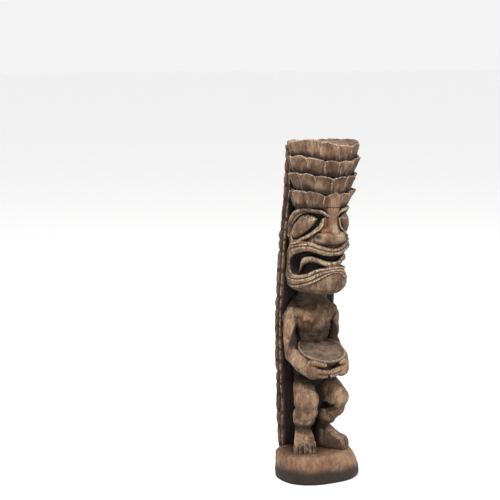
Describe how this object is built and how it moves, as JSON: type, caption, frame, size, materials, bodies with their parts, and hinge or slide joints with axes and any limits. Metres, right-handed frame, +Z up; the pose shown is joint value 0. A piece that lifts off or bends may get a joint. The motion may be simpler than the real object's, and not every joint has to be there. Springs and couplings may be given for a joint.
{
  "type": "carved wooden tiki figure",
  "caption": "Carved wooden tiki figure with a fluted tiered headdress, holding a bowl, pegged to a notched back board and an oval plinth.",
  "frame": {"origin": "centre of the felt underside, on the surface that the figure stands on", "axes": "+Z is up, the figure faces -Y, its right hand is on the -X side"},
  "size_m": [0.18, 0.1579, 0.7087],
  "materials": {
    "carved_wood": "satin",
    "dark_wood": "satin",
    "pale_wood": "satin",
    "plinth_wood": "satin",
    "peg_wood": "matte",
    "screw_steel": "satin",
    "felt": "matte"
  },
  "bodies": {
    "root": {"felt_base": "felt", "plinth": "plinth_wood", "back_board": "carved_wood", "torso": "dark_wood", "head": "carved_wood", "headdress_tier_1": "carved_wood", "headdress_tier_2": "carved_wood", "headdress_tier_3": "carved_wood", "headdress_tier_4": "carved_wood", "arm_right": "pale_wood", "arm_left": "pale_wood", "bowl": "pale_wood", "leg_right": "pale_wood", "leg_left": "pale_wood", "foot_right": "pale_wood", "foot_left": "pale_wood", "crown_peg": "peg_wood", "neck_peg": "peg_wood", "bowl_peg": "peg_wood", "shoulder_pegs": "peg_wood", "hip_pegs": "peg_wood", "ankle_pegs": "peg_wood", "foot_screws": "screw_steel", "board_screws": "screw_steel"}
  },
  "joints": []
}
